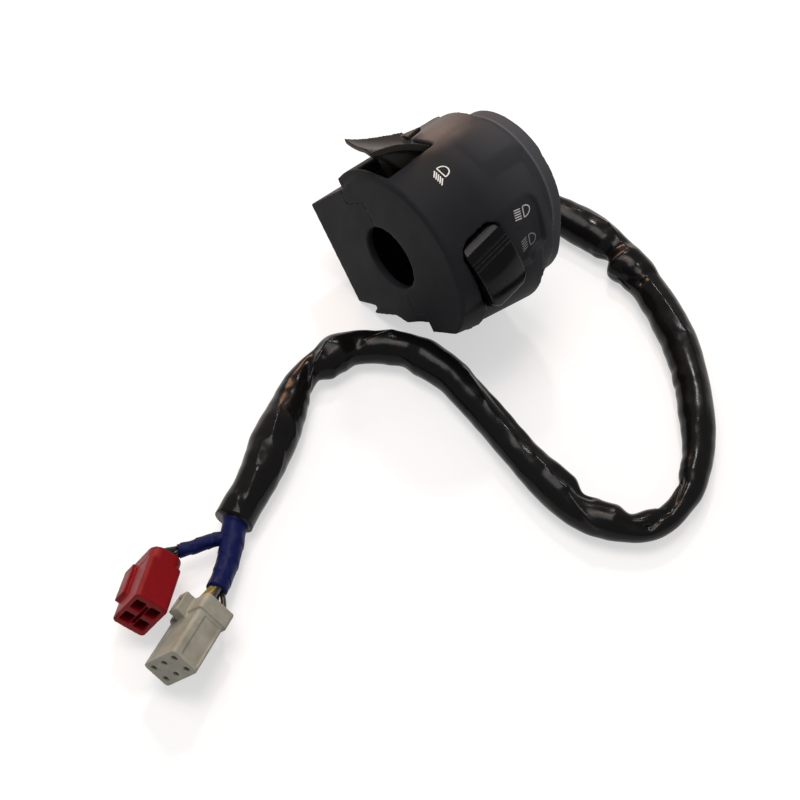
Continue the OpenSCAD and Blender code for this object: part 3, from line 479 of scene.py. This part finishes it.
trunk = taped("trunk_tape", TRUNK_ROUTE, radii=(3.8, 3.0), pitch=6.5, node="blue_trunk")
branch = taped("branch_tape", BRANCH_ROUTE, radii=(2.1, 2.0), pitch=5.0, node="blue_branch")


# Connectors and their leads
def connector_frame(tip, turn):
    """Frame whose x axis runs from the mating face to the leads; turn in degrees."""
    return Matrix.Translation(tip) @ Euler([radians(a) for a in turn]).to_matrix().to_4x4()


WHITE = connector_frame(on_table(-130, -58.3, 14.6), (39.8, 14.6, 28.4))
RED = connector_frame(on_table(-127.2, -39.8, 14.8), (36, 17.4, 42.8))
# Where the leads end in the tape, and how their rows and columns close up there
TRUNK_END, TRUNK_SPREAD = on_table(-104.2, -44, 8.6), (0.15, -0.15, 0.4)
BRANCH_END, BRANCH_SPREAD = on_table(-106, -27, 9), (0, 0.2, 0.3)
ROW_GAP, WHITE_PITCH, RED_PITCH = 4.6, 5, 6.2
WHITE_PINS = [(y * ROW_GAP, z * WHITE_PITCH) for y in (-0.5, 0.5) for z in (-1, 0, 1)]
RED_PINS = [(y * ROW_GAP, z * RED_PITCH) for y in (-0.5, 0.5) for z in (-0.5, 0.5)]
LEAD_INSIDE, LEAD_OUT = 5, 1
LEAD_STEPS, LEAD_AROUND = 8, 14


def lead_bundle(name, seat, length, pins, end, spread, finish, nodes=()):
    """Round leads from a connector's cavities to the end of the tape, as one piece."""
    whole = bmesh.new()
    for y, z in pins:
        last = end + Vector((z * spread[0], z * spread[1], y * spread[2]))
        points = [seat @ Vector((length - LEAD_INSIDE, y, z)),
                  seat @ Vector((length + LEAD_OUT, y, z)), last]
        bm = wrap_tube(spline(points, LEAD_STEPS), LEAD_AROUND,
                       lambda s, a: (LEAD_R * cos(a), LEAD_R * sin(a)))
        part = bpy.data.meshes.new("lead")
        bm.to_mesh(part)
        bm.free()
        whole.from_mesh(part)
        bpy.data.meshes.remove(part)
    return show(name, whole, finish, "housing", list(nodes))


yellow_leads = lead_bundle("white_leads_yellow", WHITE, WHITE_LEN, WHITE_PINS[3:5], TRUNK_END,
                           TRUNK_SPREAD, yellow_lead, ["white_leads"])
black_leads = lead_bundle("white_leads_black", WHITE, WHITE_LEN, WHITE_PINS[:3] + WHITE_PINS[5:],
                          TRUNK_END, TRUNK_SPREAD, black_lead)
red_leads = lead_bundle("red_leads_black", RED, RED_LEN, RED_PINS, BRANCH_END,
                        BRANCH_SPREAD, black_lead, ["red_leads"])


# Moulded pieces: a fine copy of the solid, with its faces trued and a small radius on its edges
def moulded(name, node, voxel, passes, finish, body, true_up=None, crisp=None):
    bm = millimetre_copy(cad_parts[node].data)
    bmesh.ops.remove_doubles(bm, verts=bm.verts, dist=WELD)
    solid = BVHTree.FromBMesh(bm)
    rough = bpy.data.meshes.new(name + "_rough")
    bm.to_mesh(rough)
    bm.free()
    helper = bpy.data.objects.new(name + "_rough", rough)
    scene.collection.objects.link(helper)
    remesh = helper.modifiers.new("remesh", "REMESH")
    remesh.mode = "VOXEL"
    remesh.voxel_size = voxel
    remesh.adaptivity = 0
    fine = helper.evaluated_get(bpy.context.evaluated_depsgraph_get()).to_mesh()
    bm = bmesh.new()
    bm.from_mesh(fine)
    helper.to_mesh_clear()
    bpy.data.objects.remove(helper)
    bpy.data.meshes.remove(rough)
    for v in bm.verts:
        spot = solid.find_nearest(v.co)[0]
        v.co = true_up(spot) if true_up else spot
    soft = [v for v in bm.verts if not (crisp and crisp(v.co))]
    for i in range(passes):
        bmesh.ops.smooth_vert(bm, verts=soft, factor=0.5, use_axis_x=True, use_axis_y=True,
                              use_axis_z=True)
    return show(name, bm, finish, body, [node])


def pulled_to(point, middle, radius, near):
    """Sets a point near a round face on its true radius; middle is in the y, z plane."""
    y, z = point.y - middle[0], point.z - middle[1]
    gap = sqrt(y * y + z * z)
    if gap < 1 or abs(gap - radius) > near:
        return point
    return Vector((point.x, middle[0] + y * radius / gap, middle[1] + z * radius / gap))


def reach(start, way, middle, radius):
    """Distance from a point inside a circle to the circle, along a direction."""
    off = start - Vector(middle)
    b = way.dot(off)
    return sqrt(max(0.0, b * b - off.length_squared + radius * radius)) - b


def body_middle(x):
    return -BODY_BACK - LEAN_BACK * x / TOTAL_LEN, -BODY_DROP + LEAN_UP * x / TOTAL_LEN


# On top the body rises to the ring from FLARE_START on, above FLARE_LOW and fading in from there
FLARE_START, FLARE_LOW, FLARE_FADE = 24.0, 13, 5
# Depth of the groove before the band, how far the band stands out, and the edge under the ring
GROOVE, BAND_OUT, RING_UNDER = 0.3, 0.25, 1
# How far under and over the two faces a point still belongs to them
SKIN_UNDER, SKIN_OVER = 0.5, 0.4


def flared(p):
    """The body rises towards the end ring, and a small groove parts it from the ring's band."""
    spot = Vector((p.y, p.z))
    middle = Vector(RING_MIDDLE)
    rail = Vector((-sin(RING_TURN), cos(RING_TURN)))
    foot = middle + rail * max(-RING_SPREAD, min(RING_SPREAD, (spot - middle).dot(rail)))
    way = (spot - foot).normalized()
    body = reach(foot, way, body_middle(p.x), BODY_R)
    gap = (spot - foot).length
    lowest, highest = min(body, RING_R - RING_UNDER), max(body, RING_R)
    if gap < lowest - SKIN_UNDER or gap > highest + SKIN_OVER:
        return p
    rise = clamped((p.x - FLARE_START) / (BAND_START - FLARE_START))
    top = clamped((p.z - FLARE_LOW) / FLARE_FADE)
    last_tenth = max(0.0, rise * 10 - 9)
    size = max(gap, body + (RING_R - body) * sqrt(rise) * top) - GROOVE * last_tenth
    spot = foot + way * (RING_R + BAND_OUT if p.x > BAND_START else size)
    return Vector((p.x, spot.x, spot.y))


# The front shell's edge stands back from the parting line, so that the seam shows
SEAM = 0.03
# How far past a stretch of the line its face is followed, and how near a point is pulled to it
PART_PAST, PART_NEAR, PART_ON = 0.2, 0.42, 0.05
# Nearness at which the body's and the bore's round faces take a point
BODY_NEAR, BORE_NEAR, END_EDGE = 0.1, 0.08, 1
# The ring's round part: from, short of the end, behind the flat front and above the step
RING_FROM, RING_SHORT, RING_FRONT_Y, RING_STEP_Y = 37, 0.2, 9, -7
# Along the bar, the stretch at the band whose edges stay crisp
CRISP_FROM, CRISP_TO = 37.4, 39.2


def on_parting(p, offset, width):
    """The parting face that a point is next to, as an axis and a place on it."""
    for (y0, z0), (y1, z1) in zip(PARTING, PARTING[1:]):
        beside = min(z0, z1) - PART_PAST < p.z < max(z0, z1) + PART_PAST
        if y0 == y1 and beside and abs(p.y - y0 - offset) < width:
            return 1, y0 + offset
        beside = min(y0, y1) - PART_PAST < p.y < max(y0, y1) + PART_PAST
        if z0 == z1 and beside and abs(p.z - z0 + offset) < width:
            return 2, z0 - offset
    return None


def round_ring(p):
    return (RING_FROM < p.x < TOTAL_LEN - RING_SHORT and p.y < RING_FRONT_Y
            and (p.y < RING_STEP_Y or p.z > 0))


def shell_truer(offset):
    """Sets points on the true body, ring, bore and parting line of a shell."""
    def true_shell(spot):
        p = TO_BIKE @ spot
        if END_EDGE < p.x < BAND_START:
            p = pulled_to(p, body_middle(p.x), BODY_R, BODY_NEAR)
            p = pulled_to(p, (-BROW_BACK, BROW_UP), BROW_R, BODY_NEAR)
        if round_ring(p) or (p.x > FLARE_START and p.z > FLARE_LOW):
            p = flared(p)
        p = pulled_to(p, (0, 0), BAR_R, BORE_NEAR)
        edge = on_parting(p, offset, PART_NEAR)
        if edge:
            p[edge[0]] = edge[1]
        return BIKE @ p

    return true_shell


def edge_keeper(offset):
    """Points on the parting line and at the ring's band, whose edges stay crisp."""
    def crisp(spot):
        p = TO_BIKE @ spot
        return on_parting(p, offset, PART_ON) or CRISP_FROM < p.x < CRISP_TO

    return crisp


SHELL_VOXEL, SHELL_PASSES = 0.5, 5
rear = moulded("rear_shell_moulding", "rear_shell", SHELL_VOXEL, SHELL_PASSES, housing_abs,
               "housing", shell_truer(0), edge_keeper(0))
moulded("front_shell_moulding", "front_shell", SHELL_VOXEL, SHELL_PASSES, housing_abs,
        "housing", shell_truer(SEAM), edge_keeper(SEAM))

# Pass lever: root, length, rise and thickness of its paddle, as in the part's source
ROOT_X, ROOT_Z, PADDLE_LEN, PADDLE_RISE, PADDLE_T = 20.6, 30.2, 19.6, 7.8, 1.8
# Half widths behind and in front of its middle with their change to the tip, and its curls
REAR_HALF, REAR_TAPER, FRONT_HALF, FRONT_FLARE = 6.3, 1.9, 7, 1.1
REAR_CURL, REAR_DROOP, FRONT_CURL, ROOT_CURL = 6.4, 1.6, 2, 1.1
TIP_KICK, ROOT_T = 0.9, 1.2
LEVER_NEAR, LEVER_PAST = 0.3, 0.01


def true_lever(spot):
    """The paddle's upper and lower faces are set on their true curves."""
    p = TO_TRIGGER @ spot
    s = (ROOT_X - p.x) / PADDLE_LEN
    if not -LEVER_PAST < s < 1 + LEVER_PAST:
        return spot
    w = p.y / (REAR_HALF - REAR_TAPER * s if p.y < 0 else FRONT_HALF + FRONT_FLARE * s)
    if abs(w) > 1 + LEVER_PAST:
        return spot
    if w < 0:
        curl = (REAR_CURL * s * (1 - s) - REAR_DROOP * s ** 3) * w * w
    else:
        curl = (FRONT_CURL + ROOT_CURL * (1 - s) ** 2) * w * w
    top = ROOT_Z + PADDLE_RISE * s + TIP_KICK * s ** 6 + curl
    low = top - PADDLE_T - ROOT_T * (1 - s)
    for height in (top, low):
        if abs(p.z - height) < LEVER_NEAR:
            p.z = height
    return TRIGGER @ p


moulded("pass_lever", "pass_trigger", 0.25, 6, satin_abs, "trigger", true_lever)

# Rocker: nearness of its crown, then the cushion's start, length, height and half width
CROWN_NEAR = 0.12
CUSHION_FROM, CUSHION_LEN, CUSHION_H, CUSHION_HALF = 3.2, 6, 0.7, 8.2


def true_rocker(spot):
    """The crown is set on its true radius, and the lower half swells into a thumb cushion."""
    p = TO_ROCKER @ spot
    turned = pulled_to(p, (0, 0), ROCKER_CROWN, CROWN_NEAR)
    if turned != p:
        swell = clamped((CUSHION_FROM - p.y) / CUSHION_LEN)
        crown = 1 - (p.x / CUSHION_HALF) ** 2
        turned.z += CUSHION_H * swell * swell * (3 - 2 * swell) * crown
    return ROCKER @ turned


moulded("rocker_cap", "dimmer_rocker", 0.25, 7, polished_abs, "rocker", true_rocker)
white_body = moulded("white_connector_body", "white_connector", 0.24, 3, white_nylon,
                     "housing")
red_body = moulded("red_connector_body", "red_connector", 0.24, 3, red_nylon,
                   "housing")

# Lamp signs: a D-shaped lamp with rays, printed on the shell; sizes from the sign's middle
LAMP_BACK, LAMP_HALF = 0.3, 1.9
BOWL_START, BOWL_DEPTH, BOWL_STEPS = 0.6, 2.3, 14
RAY_END, RAY_ROWS = -0.7, (-1.7, -0.85, 0, 0.85, 1.7)
STROKE, STROKE_STEP = 0.38, 0.4
# Heights above the panel's and the body's axis that the print is laid down from
PANEL_ABOVE, BODY_ABOVE = 34, 36
PRINT_DROP, PRINT_UP = 4, 0.04
rear_copy = millimetre_copy(rear.data)
rear_skin = BVHTree.FromBMesh(rear_copy)
rear_copy.free()


def lamp_sign(ray, slant):
    turns = [k * pi / BOWL_STEPS for k in range(BOWL_STEPS + 1)]
    bowl = [(BOWL_START + BOWL_DEPTH * sin(a), LAMP_HALF * cos(a)) for a in turns]
    back_top, back_low = (LAMP_BACK, LAMP_HALF), (LAMP_BACK, -LAMP_HALF)
    rays = [[(RAY_END - ray, y + slant), (RAY_END, y)] for y in RAY_ROWS]
    return [[back_top] + bowl + [back_low, back_top]] + rays


def ribbon(bm, points):
    """A flat stroke: a grid strip bent along points in the x, y plane."""
    line = []
    for a, b in zip(points, points[1:]):
        steps = 1 + int((Vector(b) - Vector(a)).length / STROKE_STEP)
        line += [Vector(a).lerp(Vector(b), k / steps) for k in range(steps)]
    line.append(Vector(points[-1]))
    rows = len(line) - 1
    strip = bmesh.ops.create_grid(bm, x_segments=rows, y_segments=1, size=0.5)["verts"]
    for v in strip:
        i = round((v.co.x + 0.5) * rows)
        way = direction(line, i)
        side = v.co.y * STROKE
        v.co = (line[i].x - way.y * side, line[i].y + way.x * side, 0)


def printed(name, strokes, carry, finish):
    """Lays strokes on the rear shell: carry gives a place above it and the direction down."""
    bm = bmesh.new()
    for points in strokes:
        ribbon(bm, points)
    for v in bm.verts:
        start, down = carry(v.co.x, v.co.y)
        hit = rear_skin.ray_cast(start, down)[0]
        v.co = (hit if hit else start + down * PRINT_DROP) - down * PRINT_UP
    bmesh.ops.recalc_face_normals(bm, faces=bm.faces)
    down = carry(0, 0)[1]
    if sum(f.normal.dot(down) * f.calc_area() for f in bm.faces) > 0:
        bmesh.ops.reverse_faces(bm, faces=bm.faces)
    return show(name, bm, finish, "housing")


def on_panel(u, v):
    down = -(PANEL.to_3x3() @ UP)
    return lambda a, b: (PANEL @ Vector((u + a, v + b, PANEL_ABOVE)), down)


def on_body(x, angle):
    def carry(a, b):
        turn = BIKE @ BODY_AXIS @ Matrix.Rotation(angle + b / BODY_R, 4, "X")
        return turn @ Vector((x + a, 0, BODY_ABOVE)), -(turn.to_3x3() @ UP)

    return carry


printed("high_beam_sign", lamp_sign(ray=2.6, slant=0.5), on_panel(15.2, 10.0), pad_print)
printed("low_beam_sign", lamp_sign(ray=2.2, slant=-0.8), on_panel(15.4, -0.3), worn_print)
printed("pass_sign", lamp_sign(ray=1.8, slant=1.7), on_body(13.9, radians(45.0)), pad_print)

# Trigger spring: a copy of the coil, as it stands
bm = millimetre_copy(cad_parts["trigger_spring"].data)
bmesh.ops.remove_doubles(bm, verts=bm.verts, dist=WELD)
coil = show("trigger_coil", bm, spring_steel, "housing", ["trigger_spring"])
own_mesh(coil)

# Solids that keep their shape get their finishes
PLAIN_SOLIDS = (
    (zinc_steel, ("clamp_screws", "rocker_pin", "base_screws", "trigger_pin", "pass_screw")),
    (turned_brass, ("screw_inserts", "feed_post", "beam_contacts", "pass_contacts",
                    "red_terminals", "white_terminals")),
    (rolled_copper, ("contact_bridge", "pass_plate")),
    (phenolic, ("dimmer_base", "pass_base")),
    (acetal, ("detent_plunger",)),
    (spring_steel, ("detent_spring",)),
    (nitrile, ("cable_grommet",)),
    (red_lead, ("switch_leads",)))
for finish, nodes in PLAIN_SOLIDS:
    for node in nodes:
        for material_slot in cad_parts[node].material_slots:
            material_slot.material = finish

along(sleeve_line)[-1] * MM


# Stage and light, in metres and watts
def lamp(name, place, aim, size, power, colour="#FFFFFF"):
    data = bpy.data.lights.new(name, "AREA")
    data.shape = "RECTANGLE"
    data.size, data.size_y = size
    data.energy = power
    data.color = linear(colour)[:3]
    light = bpy.data.objects.new(name, data)
    turn = (Vector(place) - Vector(aim)).to_track_quat("Z", "Y").to_matrix().to_4x4()
    light.matrix_world = Matrix.Translation(Vector(place)) @ turn
    scene.collection.objects.link(light)


# Soft light from above, a small lamp for glints, warm strips for the sleeve's folds and the
# rocker, and a warm card that the shoulder mirrors
lamp("key_box", (-0.06, 0.1, 0.9), (0, -0.03, 0), (0.5, 0.5), 4.4)
lamp("spark_box", (0.38, 0.38, 0.72), (0, -0.04, 0), (0.07, 0.07), 1.6)
lamp("warm_strip", (0.5, 0.29, 0.54), (0.05, -0.06, 0), (0.2, 0.03), 0.2, "#FFC8A8")
lamp("thumb_strip", (0.02, 0.02, 0.86), (0.01, -0.03, 0), (0.2, 0.03), 0.6, "#FFB07C")
lamp("warm_card", (0.3, 0.68, 0.29), (0.02, 0, 0.02), (0.34, 0.16), 2.8, "#F0B890")

WHITE_LIGHT = (1, 1, 1, 1)
world = bpy.data.worlds.new("studio")
scene.world = world
world.use_nodes = True
sky = world.node_tree.nodes["Background"]
sky.inputs["Color"].default_value = WHITE_LIGHT
sky.inputs["Strength"].default_value = 0.42

# White laminate table: matt, lifted to paper white where it is seen, with the shadows kept
FLOOR_LIFT, FLOOR_HALF = 0.54, 30
laminate, tree, shader, place = start_finish("white_laminate", "#B8B8B8", Roughness=0.9,
                                             Specular_IOR_Level=0.0)
rays = add(tree, "LightPath", {}).outputs
seen = add(tree, "Math", {0: rays["Is Camera Ray"], 1: rays["Is Glossy Ray"]},
           operation="MAXIMUM")
seen = add(tree, "Math", {0: seen.outputs["Value"], 1: rays["Is Transmission Ray"]},
           operation="MAXIMUM")
lift = add(tree, "Math", {0: seen.outputs["Value"], 1: FLOOR_LIFT}, operation="MULTIPLY")
tree.links.new(lift.outputs["Value"], shader.inputs["Emission Strength"])
shader.inputs["Emission Color"].default_value = WHITE_LIGHT

bm = bmesh.new()
bmesh.ops.create_grid(bm, x_segments=1, y_segments=1, size=FLOOR_HALF)
bmesh.ops.translate(bm, verts=bm.verts, vec=(0, 0, FLOOR * MM))
floor_mesh = bpy.data.meshes.new("floor")
bm.to_mesh(floor_mesh)
bm.free()
floor_mesh.materials.append(laminate)
floor = bpy.data.objects.new("floor", floor_mesh)
scene.collection.objects.link(floor)
